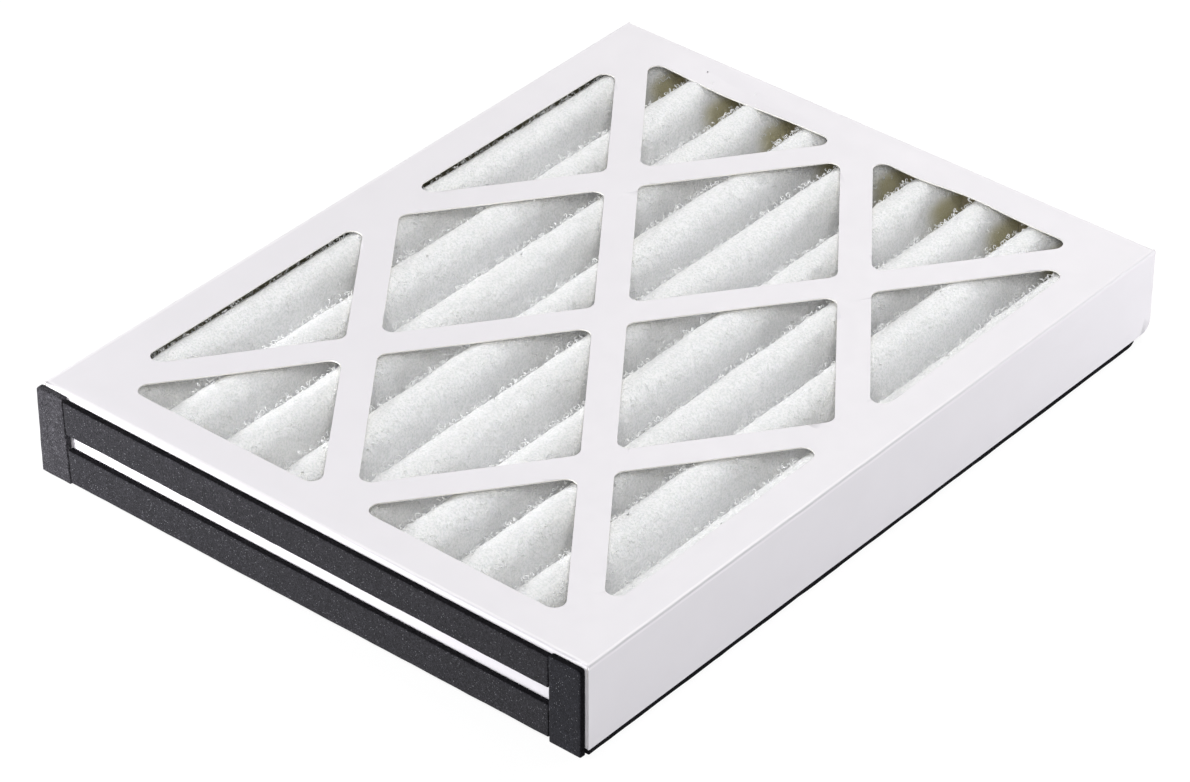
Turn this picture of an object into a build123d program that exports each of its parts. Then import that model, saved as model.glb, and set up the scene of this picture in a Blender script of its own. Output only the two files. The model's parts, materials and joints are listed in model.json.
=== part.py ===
from build123d import *

import math
import os

# Pleated panel air filter: two die-cut card trays nested into a box with a lattice on each face,
# a pleated pack of synthetic wadding held on a folded wire grid, and strips of foam tape.
#
# Frame: X runs along the filter, with the gasketed end at -X. Y runs across it and Z is up.
# The origin is the centre of the card's footprint, on the surface that the foam below rests on.
# The inlet face is on top. All sizes are in millimetres.

# Card frame
CARD_LENGTH = 460.0  # over the end walls
CARD_WIDTH = 360.0  # over the side walls
CARD_HEIGHT = 50.0  # over both lattice faces
BOARD = 0.8  # thickness of the board
CREASE_RADIUS = 0.4  # inside radius of a crease
NEST_GAP = 0.2  # glue line between the outer and the inner tray
CORNER_GAP = 0.5  # between an outer end wall and the side wall that it butts against
RIM_GAP = 0.5  # between the inner tray's rim and the face above it
REAR_FLAP_RADIUS = 7.0  # lower rear corner of an outer side wall
TAB_LENGTH = 18.0  # glue tab of the inner tray, from its crease
TAB_TAPER = 4.0  # how much a tab narrows at each edge
TAB_GAP = 0.1  # glue line between a tab and its end wall
TAB_LIFT = 1.0  # between a tab and the face that it stands over

# Lattice
BORDER = 23.0  # from the card's edge to the window field
STRAP_WIDTH = 17.5
WINDOW_RADIUS = 6.0

# Pleated media
PLEAT_PITCH = 38.4
PACK_SHIFT = -3.0  # the pack stands off centre, towards the -Y wall
MEDIA_THICKNESS = 8.0
PLEAT_INSIDE_RADIUS = 3.0
CREST_GAP = 2.0  # between the crests and the inlet face
MEDIA_SIDE_GAP = 0.3  # between the foot of the pack and a side wall
MEDIA_END_GAP = 0.3  # between the ends of the pleats and the glue tabs

# Support grid
WIRE = 1.0
WELD = 0.3  # how far two crossing wires are sunk into each other
GRID_SEAT = 0.2  # between the lowest wires and the outlet face
GRID_GAP = 0.3  # between the grid and the media
WAVE_WIRES = 3  # wires folded with the pleats
WAVE_WIRE_PITCH = 150.0
GRID_WIRE_MARGIN = 2.0  # how far the straight wires stop short of the ends of the pleats

# Foam tape
TAPE_WIDTH = 20.0
TAPE_THICKNESS = 4.0
FRONT_SHIFT = 2.0  # the gasket on the end wall sits off centre, towards the +Y side
FRONT_UPPER_DROP = 3.2  # from the card's top to the upper strip
FRONT_LOWER_LIFT = 2.0  # from the resting surface to the lower strip
FRONT_END_DROP = 1.8  # from the card's top to the upright pieces
FRONT_CORNER_RADIUS = 2.0
UNDER_INSET = 0.5  # from the card's edge to the gasket below
UNDER_CORNER_RADIUS = 18.0  # outer rear corners of that gasket

# Levels and lengths that follow from the sizes above
CREASE_OUTSIDE = CREASE_RADIUS + BOARD
BASE_Z = TAPE_THICKNESS
TOP_Z = BASE_Z + CARD_HEIGHT
INNER_LENGTH = CARD_LENGTH - 2 * (BOARD + NEST_GAP)
INNER_WIDTH = CARD_WIDTH - 2 * (BOARD + NEST_GAP)
INNER_HEIGHT = CARD_HEIGHT - BOARD - RIM_GAP
FIELD_LENGTH = CARD_LENGTH - 2 * BORDER
FIELD_WIDTH = CARD_WIDTH - 2 * BORDER

TAB_INSIDE_X = INNER_LENGTH / 2 - 2 * BOARD - TAB_GAP
PACK_LENGTH = 2 * (TAB_INSIDE_X - MEDIA_END_GAP)
PACK_HALF_WIDTH = INNER_WIDTH / 2 - BOARD - MEDIA_SIDE_GAP
GRID_BOTTOM = BASE_Z + BOARD + GRID_SEAT
MEDIA_BOTTOM = GRID_BOTTOM + 2 * WIRE - WELD + GRID_GAP
MEDIA_TOP = TOP_Z - BOARD - CREST_GAP

# The pleats are equal bends above and below, joined by straight flanks that touch both.
BEND_RADIUS = PLEAT_INSIDE_RADIUS + MEDIA_THICKNESS / 2
CREST_Z = MEDIA_TOP - MEDIA_THICKNESS / 2 - BEND_RADIUS
VALLEY_Z = MEDIA_BOTTOM + MEDIA_THICKNESS / 2 + BEND_RADIUS
BEND_DISTANCE = math.hypot(PLEAT_PITCH / 2, CREST_Z - VALLEY_Z)
BEND_SLOPE = math.atan2(CREST_Z - VALLEY_Z, PLEAT_PITCH / 2)
FLANK_ANGLE = math.degrees(math.acos(2 * BEND_RADIUS / BEND_DISTANCE) - BEND_SLOPE)
PLEATS = int(2 * (PACK_HALF_WIDTH - abs(PACK_SHIFT)) // PLEAT_PITCH)
CREST_YS = [PACK_SHIFT + (n - (PLEATS - 1) / 2) * PLEAT_PITCH for n in range(PLEATS)]
VALLEY_YS = [PACK_SHIFT + (n - PLEATS / 2) * PLEAT_PITCH for n in range(PLEATS + 1)]


def block(x0, x1, y0, y1, z0, z1):
    """Rectangular block between two corners."""
    centre = ((x0 + x1) / 2, (y0 + y1) / 2, (z0 + z1) / 2)
    return Pos(*centre) * Box(x1 - x0, y1 - y0, z1 - z0)


# Card trays


def channel_profile(width, height):
    """Section of a sheet with a wall creased down at each side, its face at the origin."""
    outside = Rectangle(width, height, align=(Align.CENTER, Align.MAX))
    outside = fillet(outside.vertices().group_by(Axis.Y)[-1], CREASE_OUTSIDE)
    inside = Rectangle(width - 2 * BOARD, height, align=(Align.CENTER, Align.MAX))
    inside = fillet(inside.vertices().group_by(Axis.Y)[-1], CREASE_RADIUS)
    return outside - Pos(0, -BOARD) * inside


def folded_tray(length, width, height, gap):
    """Plain tray, open below. The walls along X run through and the others stand between them."""
    span = width - 2 * (BOARD + gap)
    through = extrude(Plane.YZ * channel_profile(width, height), length / 2, both=True)
    between = extrude(Plane.XZ * channel_profile(length, height), span / 2, both=True)
    creases = Box(length, span, 2 * height) - Box(length - 2 * CREASE_OUTSIDE, span, 2 * height)
    return (through - creases) + between


def strap(start, end):
    """Straight strap of the lattice, running a little past both of its ends."""
    line = Line(start, end)
    angle = math.degrees(math.atan2(end[1] - start[1], end[0] - start[0]))
    return Pos(line @ 0.5) * Rot(Z=angle) * Rectangle(line.length + 2 * STRAP_WIDTH, STRAP_WIDTH)


def lattice_windows():
    """Windows left by the two diagonals of the field and the rhombus between its midpoints."""
    x, y = FIELD_LENGTH / 2, FIELD_WIDTH / 2
    corners = [(x, y), (-x, y), (-x, -y), (x, -y)]
    midpoints = [(x, 0), (0, y), (-x, 0), (0, -y)]
    lines = [(corners[0], corners[2]), (corners[1], corners[3])]
    lines += [(midpoints[n - 1], midpoints[n]) for n in range(4)]
    windows = Rectangle(FIELD_LENGTH, FIELD_WIDTH) - [strap(*line) for line in lines]
    return fillet(windows.vertices(), WINDOW_RADIUS)


def glue_tab():
    """Tab creased inwards from the end of the inner tray's +Y wall, behind its +X wall."""
    bend_x = TAB_INSIDE_X - CREASE_RADIUS
    bend_y = INNER_WIDTH / 2 - CREASE_OUTSIDE
    free_end = bend_y - TAB_LENGTH
    inner_arc = CenterArc((bend_x, bend_y), CREASE_RADIUS, 0, 90)
    outer_arc = CenterArc((bend_x, bend_y), CREASE_OUTSIDE, 0, 90)
    leg = Polyline(
        inner_arc @ 0,
        (bend_x + CREASE_RADIUS, free_end),
        (bend_x + CREASE_OUTSIDE, free_end),
        outer_arc @ 0,
    )
    section = make_face([inner_arc, outer_arc, leg, Line(inner_arc @ 1, outer_arc @ 1)])
    low = BASE_Z + CREASE_OUTSIDE + TAB_LIFT
    high = BASE_Z + INNER_HEIGHT
    outline = make_face(
        Polyline(
            (INNER_WIDTH / 2, low),
            (INNER_WIDTH / 2, high),
            (bend_y, high),
            (free_end, high - TAB_TAPER),
            (free_end, low + TAB_TAPER),
            (bend_y, low),
            close=True,
        )
    )
    fold = Pos(Z=low) * extrude(section, high - low)
    return fold & extrude(Plane.YZ * outline, INNER_LENGTH / 2)


def make_inlet_frame():
    """Outer tray: the lattice on top and four walls folded down over the inner tray."""
    tray = folded_tray(CARD_LENGTH, CARD_WIDTH, CARD_HEIGHT, CORNER_GAP)
    lower_rear = tray.edges().filter_by(Axis.Y).group_by(Axis.X)[-1].group_by(Axis.Z)[0]
    flap_corners = lower_rear.filter_by(lambda edge: edge.length < 2 * BOARD)
    tray = fillet(flap_corners, REAR_FLAP_RADIUS)
    tray -= extrude(lattice_windows(), -BOARD)
    return Pos(Z=TOP_Z) * tray


def make_outlet_frame():
    """Inner tray: the lattice below, four walls up, and tabs glued behind its end walls."""
    fold_room = TAB_GAP + CREASE_OUTSIDE
    tray = Rot(Z=90) * folded_tray(INNER_WIDTH, INNER_LENGTH, INNER_HEIGHT, fold_room)
    tray -= extrude(lattice_windows(), -BOARD)
    tray = Pos(Z=BASE_Z) * Rot(X=180) * tray
    tab = glue_tab()
    pair = [tab, mirror(tab, Plane.XZ)]
    return tray + pair + [mirror(each, Plane.YZ) for each in pair]


# Pleated pack


def wave_line(offset):
    """Edges of a line through the pleats, from wall to wall, offset above the media's middle."""
    crest_radius = BEND_RADIUS + offset
    valley_radius = BEND_RADIUS - offset
    floor_z = VALLEY_Z - valley_radius
    sweep = 180 - 2 * FLANK_ANGLE
    crests = [CenterArc((y, CREST_Z), crest_radius, FLANK_ANGLE, sweep) for y in CREST_YS]
    valleys = [
        CenterArc((y, VALLEY_Z), valley_radius, 180 + FLANK_ANGLE, sweep)
        for y in VALLEY_YS[1:-1]
    ]
    first = CenterArc((VALLEY_YS[0], VALLEY_Z), valley_radius, 270, sweep / 2)
    last = CenterArc((VALLEY_YS[-1], VALLEY_Z), valley_radius, 180 + FLANK_ANGLE, sweep / 2)
    valleys = [first, *valleys, last]
    rising = [Line(valley @ 1, crest @ 1) for valley, crest in zip(valleys, crests)]
    falling = [Line(crest @ 0, valley @ 0) for crest, valley in zip(crests, valleys[1:])]
    feet = [
        Line((-PACK_HALF_WIDTH, floor_z), first @ 0),
        Line(last @ 1, (PACK_HALF_WIDTH, floor_z)),
    ]
    return crests + valleys + rising + falling + feet


def wave_band(upper, lower):
    """Closed band between two offsets from the media's middle, across the filter."""
    ends = []
    for side in (-PACK_HALF_WIDTH, PACK_HALF_WIDTH):
        levels = [VALLEY_Z - BEND_RADIUS + offset for offset in (upper, lower)]
        ends.append(Line((side, levels[0]), (side, levels[1])))
    return Plane.YZ * make_face(wave_line(upper) + wave_line(lower) + ends)


def make_pleated_media():
    """One web of wadding, pleated along X and cut off square at both ends."""
    return extrude(wave_band(MEDIA_THICKNESS / 2, -MEDIA_THICKNESS / 2), PACK_LENGTH / 2, both=True)


def make_pleat_support_grid():
    """Wires folded with the pleats on the outlet side, welded to straight wires in every bend."""
    upper = -MEDIA_THICKNESS / 2 - GRID_GAP
    lower = upper - WIRE
    folded = extrude(wave_band(upper, lower), WIRE / 2, both=True)
    first = -(WAVE_WIRES - 1) / 2 * WAVE_WIRE_PITCH
    wires = [Pos(X=first + n * WAVE_WIRE_PITCH) * folded for n in range(WAVE_WIRES)]
    reach = PACK_LENGTH / 2 - GRID_WIRE_MARGIN
    crest_level = CREST_Z + BEND_RADIUS + lower + WELD
    valley_level = VALLEY_Z - BEND_RADIUS + lower + WELD
    straight = [(y, crest_level) for y in CREST_YS]
    straight += [(y, valley_level) for y in VALLEY_YS]
    wires += [
        block(-reach, reach, y - WIRE / 2, y + WIRE / 2, level - WIRE, level)
        for y, level in straight
    ]
    return wires[0] + wires[1:]


# Foam tape


def front_tape(y0, y1, z0, z1):
    """Piece of tape on the -X end wall."""
    return block(-CARD_LENGTH / 2 - TAPE_THICKNESS, -CARD_LENGTH / 2, y0, y1, z0, z1)


def make_front_gasket():
    """Two long strips on the end wall, closed at each end by an upright piece."""
    right = FRONT_SHIFT - CARD_WIDTH / 2
    left = FRONT_SHIFT + CARD_WIDTH / 2
    upper_top = TOP_Z - FRONT_UPPER_DROP
    end_top = TOP_Z - FRONT_END_DROP
    strip = (right + TAPE_WIDTH, left - TAPE_WIDTH)
    left_end = front_tape(left - TAPE_WIDTH, left, 0, end_top)
    right_end = front_tape(right, right + TAPE_WIDTH, 0, end_top)
    left_corner = left_end.edges().filter_by(Axis.X).group_by(Axis.Z)[-1].sort_by(Axis.Y)[-1]
    right_corner = right_end.edges().filter_by(Axis.X).group_by(Axis.Z)[-1].sort_by(Axis.Y)[0]
    return {
        "front_gasket_upper": front_tape(*strip, upper_top - TAPE_WIDTH, upper_top),
        "front_gasket_lower": front_tape(*strip, FRONT_LOWER_LIFT, FRONT_LOWER_LIFT + TAPE_WIDTH),
        "front_gasket_left": fillet(left_corner, FRONT_CORNER_RADIUS),
        "front_gasket_right": fillet(right_corner, FRONT_CORNER_RADIUS),
    }


def make_outlet_gasket():
    """Ring of tape below the outlet face: two long strips with two short ones between them."""
    front = -CARD_LENGTH / 2 + UNDER_INSET
    rear = CARD_LENGTH / 2 - UNDER_INSET
    side = CARD_WIDTH / 2 - UNDER_INSET
    inside = side - TAPE_WIDTH
    left = block(front, rear, inside, side, 0, TAPE_THICKNESS)
    rear_corner = left.edges().filter_by(Axis.Z).group_by(Axis.X)[-1].sort_by(Axis.Y)[-1]
    left = fillet(rear_corner, UNDER_CORNER_RADIUS)
    return {
        "outlet_gasket_left": left,
        "outlet_gasket_right": mirror(left, Plane.XZ),
        "outlet_gasket_front": block(
            front, front + TAPE_WIDTH, -inside, inside, 0, TAPE_THICKNESS
        ),
        "outlet_gasket_back": block(rear - TAPE_WIDTH, rear, -inside, inside, 0, TAPE_THICKNESS),
    }


def make_parts():
    """Every piece of the filter, under the name of its node."""
    return {
        "inlet_frame": make_inlet_frame(),
        "outlet_frame": make_outlet_frame(),
        "pleated_media": make_pleated_media(),
        "pleat_support_grid": make_pleat_support_grid(),
        **make_front_gasket(),
        **make_outlet_gasket(),
    }


os.makedirs("parts", exist_ok=True)
for name, solid in make_parts().items():
    export_step(solid, f"parts/{name}.step")
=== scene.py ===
"""Visual model of a pleated panel air filter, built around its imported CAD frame."""

import json
import logging
import math
import random
from collections.abc import Iterable
from dataclasses import dataclass
from enum import Enum

import bmesh
import bpy
import numpy as np
from mathutils import Matrix, Vector, noise

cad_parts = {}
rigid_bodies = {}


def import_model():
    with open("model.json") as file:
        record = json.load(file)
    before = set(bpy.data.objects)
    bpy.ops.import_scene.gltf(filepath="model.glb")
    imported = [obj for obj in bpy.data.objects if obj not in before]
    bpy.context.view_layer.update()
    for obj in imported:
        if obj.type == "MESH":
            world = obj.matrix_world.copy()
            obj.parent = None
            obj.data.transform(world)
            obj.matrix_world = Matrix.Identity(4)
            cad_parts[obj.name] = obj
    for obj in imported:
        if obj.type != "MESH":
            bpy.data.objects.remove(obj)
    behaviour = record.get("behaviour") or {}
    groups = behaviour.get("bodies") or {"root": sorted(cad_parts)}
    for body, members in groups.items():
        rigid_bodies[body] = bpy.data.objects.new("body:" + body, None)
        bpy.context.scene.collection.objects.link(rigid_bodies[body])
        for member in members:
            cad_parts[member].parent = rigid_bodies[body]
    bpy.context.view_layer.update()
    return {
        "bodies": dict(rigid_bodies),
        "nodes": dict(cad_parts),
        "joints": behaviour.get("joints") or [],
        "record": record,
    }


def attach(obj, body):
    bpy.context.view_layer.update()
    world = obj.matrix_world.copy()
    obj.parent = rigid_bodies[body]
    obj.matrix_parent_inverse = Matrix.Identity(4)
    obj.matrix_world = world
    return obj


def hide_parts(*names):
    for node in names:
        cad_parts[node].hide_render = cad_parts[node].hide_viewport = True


LOG = logging.getLogger("panel_filter")
MM = 0.001
SAME_PLACE = 1e-6
NODES_A_ROW = 9
NODE_STEP = (220, -260)

Colour = tuple[float, float, float]
Socket = bpy.types.NodeSocket


def mm(*values: float) -> Vector:
    """Gives a point or a direction in metres.

    Args:
        values: Its three numbers in millimetres.

    Returns:
        The vector in metres.
    """
    return Vector(value * MM for value in values)


def smooth_step(low: float, high: float, value: float) -> float:
    """Eases from 0 at one value to 1 at another.

    Args:
        low: Value at which the result is 0.
        high: Value at which the result is 1.
        value: The value to ease.

    Returns:
        A number from 0 to 1.
    """
    share = min(1.0, max(0.0, (value - low) / (high - low)))
    return share * share * (3 - 2 * share)


# Node trees


class NodeBench:
    """Adds nodes to one node tree and joins them."""

    def __init__(self, tree: bpy.types.NodeTree) -> None:
        """Takes the tree to work in.

        Args:
            tree: A material's, world's or group's node tree.
        """
        self.tree = tree

    def node(self, kind: str, inputs: dict | None = None, **settings: object) -> bpy.types.Node:
        """Adds a node.

        Args:
            kind: The node's type name.
            inputs: Socket names or numbers, each with a value or with a socket to join.
            settings: The node's own properties.

        Returns:
            The new node.
        """
        made = self.tree.nodes.new(kind)
        row, column = divmod(len(self.tree.nodes), NODES_A_ROW)
        made.location = (NODE_STEP[0] * column, NODE_STEP[1] * row)
        for name, value in settings.items():
            setattr(made, name, value)
        for key, value in (inputs or {}).items():
            if isinstance(value, Socket):
                self.tree.links.new(value, made.inputs[key])
            else:
                made.inputs[key].default_value = value
        return made

    def math(self, operation: str, *terms: object, clamp: bool = False) -> Socket:
        """Adds a Math node.

        Args:
            operation: The node's operation.
            terms: Its numbers or sockets, in order.
            clamp: Whether the result is kept from 0 to 1.

        Returns:
            The result.
        """
        inputs = dict(enumerate(terms))
        node = self.node("ShaderNodeMath", inputs, operation=operation, use_clamp=clamp)
        return node.outputs[0]

    def fade(
        self, value: Socket, start: float, end: float, low: float = 0.0, high: float = 1.0
    ) -> Socket:
        """Eases a value from one number to another.

        Args:
            value: What is eased.
            start: Value that gives low.
            end: Value that gives high.
            low: Result at the start.
            high: Result at the end.

        Returns:
            The eased value.
        """
        inputs = {"Value": value, "From Min": start, "From Max": end, "To Min": low, "To Max": high}
        node = self.node("ShaderNodeMapRange", inputs, interpolation_type="SMOOTHSTEP")
        return node.outputs["Result"]

    def blend(self, share: object, first: object, second: object, how: str = "MIX") -> Socket:
        """Blends two colours.

        Args:
            share: How much of the second shows, as a number or a socket.
            first: A colour or a socket.
            second: A colour or a socket.
            how: The blend type.

        Returns:
            The blended colour.
        """
        first, second = ((*c, 1.0) if isinstance(c, tuple) else c for c in (first, second))
        inputs = {0: share, 6: first, 7: second}
        node = self.node("ShaderNodeMix", inputs, data_type="RGBA", blend_type=how)
        return node.outputs[2]

    def tinted(self, colour: Colour, factor: Socket) -> Socket:
        """Makes a colour darker or lighter.

        Args:
            colour: The colour.
            factor: What it is multiplied by.

        Returns:
            The new colour.
        """
        grey = self.node("ShaderNodeCombineColor", {0: factor, 1: factor, 2: factor}).outputs[0]
        return self.blend(1.0, colour, grey, "MULTIPLY")

    def bump(self, height: Socket, strength: float, distance: float, **inputs: Socket) -> Socket:
        """Turns a height into a normal.

        Args:
            height: The height.
            strength: How much of it shows.
            distance: How far a height of 1 reaches, in metres.
            inputs: The node's other inputs.

        Returns:
            The normal.
        """
        inputs |= {"Strength": strength, "Distance": distance, "Height": height}
        return self.node("ShaderNodeBump", inputs).outputs[0]

    def grain(
        self, where: Socket, scale: object, detail: float = 2.0, curl: object = 0.0
    ) -> Socket:
        """Adds a noise texture.

        Args:
            where: The coordinates.
            scale: Features per metre.
            detail: How many finer layers it has.
            curl: How much it is distorted.

        Returns:
            A number about 0.5 that changes over the surface.
        """
        inputs = {"Vector": where, "Scale": scale, "Detail": detail, "Distortion": curl}
        return self.node("ShaderNodeTexNoise", inputs).outputs[0]

    def place(self) -> Socket:
        """Gives the piece's own coordinates, in metres."""
        return self.node("ShaderNodeTexCoord").outputs["Object"]

    def axes(self, where: Socket) -> bpy.types.NodeOutputs:
        """Splits coordinates into X, Y and Z.

        Args:
            where: The coordinates.

        Returns:
            The three numbers by name.
        """
        return self.node("ShaderNodeSeparateXYZ", {"Vector": where}).outputs

    def moved(self, where: Socket, **inputs: tuple[float, ...]) -> Socket:
        """Moves, turns and stretches coordinates.

        Args:
            where: The coordinates.
            inputs: The Location, Rotation and Scale, where they aren't plain.

        Returns:
            The new coordinates.
        """
        return self.node("ShaderNodeMapping", {"Vector": where} | inputs).outputs[0]


class EffectGroup:
    """A node group that several materials use, each with its own values."""

    name: str = ""
    inputs: dict[str, float] = {}
    outputs: tuple[str, ...] = ()

    @classmethod
    def tree(cls) -> bpy.types.NodeTree:
        """Builds the group at its first use.

        Returns:
            The group's node tree.
        """
        found = bpy.data.node_groups.get(cls.name)
        if found:
            return found
        tree = bpy.data.node_groups.new(cls.name, "ShaderNodeTree")
        new_socket = tree.interface.new_socket
        new_socket("Place", in_out="INPUT", socket_type="NodeSocketVector")
        for name, value in cls.inputs.items():
            socket = new_socket(name, in_out="INPUT", socket_type="NodeSocketFloat")
            socket.default_value = value
        for name in cls.outputs:
            new_socket(name, in_out="OUTPUT", socket_type="NodeSocketFloat")
        bench = NodeBench(tree)
        given = bench.node("NodeGroupInput").outputs
        bench.node("NodeGroupOutput", cls.wire(bench, given))
        return tree

    @classmethod
    def wire(cls, bench: NodeBench, given: bpy.types.NodeOutputs) -> dict[str, Socket]:
        """Wires the group's own nodes.

        Args:
            bench: The group's bench.
            given: The group's inputs.

        Returns:
            The socket for each output name.
        """
        raise NotImplementedError

    @classmethod
    def use(cls, bench: NodeBench, place: Socket, **values: float) -> dict[str, Socket]:
        """Places the group in a material.

        Args:
            bench: The material's bench.
            place: The coordinates.
            values: The inputs' values, by the input's name with _ for each space.

        Returns:
            The group's outputs by name.
        """
        inputs = {name.replace("_", " "): value for name, value in values.items()}
        node = bench.node("ShaderNodeGroup", {"Place": place} | inputs, node_tree=cls.tree())
        return {socket.name: socket for socket in node.outputs}


class CurlyFibres(EffectGroup):
    """Thin curly lines that cross each other, as matted fibres do."""

    name = "Curly fibres"
    inputs = {"Scale": 500.0, "Width": 0.04, "Curl": 0.6}
    outputs = ("Fibres", "Depth")
    layers = ((0.0, 0.55), (1.05, 0.7), (2.1, 0.6))

    @classmethod
    def wire(cls, bench: NodeBench, given: bpy.types.NodeOutputs) -> dict[str, Socket]:
        """Overlays the contour lines of three noises, each turned and stretched its own way.

        Args:
            bench: The group's bench.
            given: The group's inputs.

        Returns:
            A mask of the fibres, and how deep the gaps between them are.
        """
        lines = []
        for turn, stretch in cls.layers:
            where = bench.moved(
                given["Place"], Location=(turn * 0.37, turn * 0.21, turn * 0.13),
                Rotation=(turn, turn * 0.6, turn * 1.3), Scale=(1.0, stretch, 1.0),
            )
            value = bench.grain(where, given["Scale"], 1.0, given["Curl"])
            gap = bench.math("ABSOLUTE", bench.math("SUBTRACT", value, 0.5))
            near = bench.math("DIVIDE", gap, given["Width"])
            lines.append(bench.math("SUBTRACT", 1.0, near, clamp=True))
        top = bench.math("MAXIMUM", bench.math("MAXIMUM", lines[0], lines[1]), lines[2])
        total = bench.math("ADD", bench.math("ADD", lines[0], lines[1]), lines[2])
        return {"Fibres": top, "Depth": bench.math("MULTIPLY", total, 0.5, clamp=True)}


class SlowMottle(EffectGroup):
    """Broad, faint change over a surface."""

    name = "Slow mottle"
    inputs = {"Scale": 30.0, "Strength": 0.1}
    outputs = ("Factor",)

    @classmethod
    def wire(cls, bench: NodeBench, given: bpy.types.NodeOutputs) -> dict[str, Socket]:
        """Centres a soft noise on 1.

        Args:
            bench: The group's bench.
            given: The group's inputs.

        Returns:
            A factor a little over or under 1.
        """
        value = bench.grain(given["Place"], given["Scale"], 3.0)
        swing = bench.math("MULTIPLY", bench.math("SUBTRACT", value, 0.5), given["Strength"])
        return {"Factor": bench.math("ADD", swing, 1.0)}


class FoldLines(EffectGroup):
    """Where a creased tray's folds are, in metres, with a painted shade line along each crease and
    painted highlight bands beside it.
    """

    name = "Fold lines"
    inputs = {"Half length": 0.23, "Half width": 0.18, "Face level": 0.054}
    outputs = ("Crease shade", "Highlight")
    wander = 0.0007
    # How far from the fold's middle the painted shade line fades out, and where the painted
    # highlight bands begin and end.
    crease_shade = (0.0009, 0.0003)
    rub_begins, rub_ends = (0.0008, 0.0013), (0.0026, 0.0018)
    fades_along = (-0.1, 0.2, 1.0, 0.3)

    @classmethod
    def wire(cls, bench: NodeBench, given: bpy.types.NodeOutputs) -> dict[str, Socket]:
        """Measures the way across the fold, from the face to the wall.

        Args:
            bench: The group's bench.
            given: The group's inputs.

        Returns:
            A line along the middle of the fold, for its groove and its painted shade, and a band
            each side of it, for painted highlight.
        """
        place, parts = given["Place"], bench.axes(given["Place"])
        inward = bench.math("MINIMUM", *(
            bench.math("SUBTRACT", given[half], bench.math("ABSOLUTE", parts[axis]))
            for half, axis in (("Half length", "X"), ("Half width", "Y"))
        ))
        depth = bench.math("ABSOLUTE", bench.math("SUBTRACT", parts["Z"], given["Face level"]))
        across = bench.math("SUBTRACT", depth, inward)
        wander = bench.math("SUBTRACT", bench.grain(place, 60.0), 0.5)
        away = bench.math("ABSOLUTE", bench.math("MULTIPLY_ADD", wander, cls.wander, across))
        uneven = bench.fade(bench.grain(place, 34.0), 0.25, 0.6, 0.45, 1.0)
        uneven = bench.math("MULTIPLY", uneven, bench.fade(parts["X"], *cls.fades_along))
        rub = (bench.fade(away, *ends) for ends in (cls.rub_begins, cls.rub_ends))
        return {
            "Crease shade": bench.math("MULTIPLY", bench.fade(away, *cls.crease_shade), uneven),
            "Highlight": bench.math("MULTIPLY", bench.math("MULTIPLY", *rub), uneven),
        }


# Finishes


@dataclass(frozen=True)
class Finish:
    """What a surface is made of."""

    name: str

    def material(self) -> bpy.types.Material:
        """Builds the finish's material at its first use.

        Returns:
            The material.
        """
        found = bpy.data.materials.get(self.name)
        if found:
            return found
        made = bpy.data.materials.new(self.name)
        made.use_nodes = True
        made.node_tree.nodes.clear()
        bench = NodeBench(made.node_tree)
        bench.node("ShaderNodeOutputMaterial", {"Surface": self.shade(bench)})
        return made

    def shade(self, bench: NodeBench) -> Socket:
        """Gives the surface's shader.

        Args:
            bench: The material's bench.

        Returns:
            The shader.
        """
        inputs = self.wire(bench, bench.place())
        return bench.node("ShaderNodeBsdfPrincipled", inputs).outputs[0]

    def wire(self, bench: NodeBench, place: Socket) -> dict[str, object]:
        """Wires what feeds the shader.

        Args:
            bench: The material's bench.
            place: The piece's own coordinates.

        Returns:
            The shader's inputs by name.
        """
        raise NotImplementedError


@dataclass(frozen=True)
class CoatedBoard(Finish):
    """The white clay-coated side of the board, with its creases."""

    half_length: float = 230.0
    half_width: float = 180.0
    face_z: float = 54.0
    colour: Colour = (0.735, 0.714, 0.745)
    crease_shade: Colour = (0.42, 0.41, 0.43)
    fold_highlight: Colour = (0.9, 0.88, 0.9)

    def wire(self, bench: NodeBench, place: Socket) -> dict[str, object]:
        """Wires a smooth white coat, faintly mottled, with a groove along its folds, a painted
        shade line in it and painted highlight bands beside it.

        Args:
            bench: The material's bench.
            place: The tray's own coordinates.

        Returns:
            The shader's inputs by name.
        """
        mottle = SlowMottle.use(bench, place, Scale=38.0, Strength=0.05)["Factor"]
        folds = FoldLines.use(
            bench, place, Half_length=self.half_length * MM, Half_width=self.half_width * MM,
            Face_level=self.face_z * MM,
        )
        fibres = CurlyFibres.use(bench, place, Scale=420.0, Width=0.05, Curl=0.4)
        colour = bench.tinted(self.colour, mottle)
        # Painted shade: a darker line along each crease. Painted highlight: lighter bands each side
        # of it, fading towards the far end.
        for mask, strength, tone in (("Crease shade", 0.62, self.crease_shade), ("Highlight", 0.6, self.fold_highlight)):
            colour = bench.blend(bench.math("MULTIPLY", folds[mask], strength), colour, tone)
        height = bench.math("MULTIPLY", fibres["Depth"], 0.15)
        height = bench.math("MULTIPLY_ADD", folds["Crease shade"], -1.2, height)
        height = bench.math("MULTIPLY_ADD", bench.grain(place, 1400.0), 0.25, height)
        fine = bench.bump(height, 0.35, 0.00008)
        return {
            "Base Color": colour,
            "Roughness": bench.math("MULTIPLY_ADD", bench.grain(place, 160.0), 0.12, 0.4),
            "Specular IOR Level": 0.35,
            "Normal": bench.bump(bench.grain(place, 22.0, 1.0), 0.6, 0.0006, Normal=fine),
        }


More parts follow.
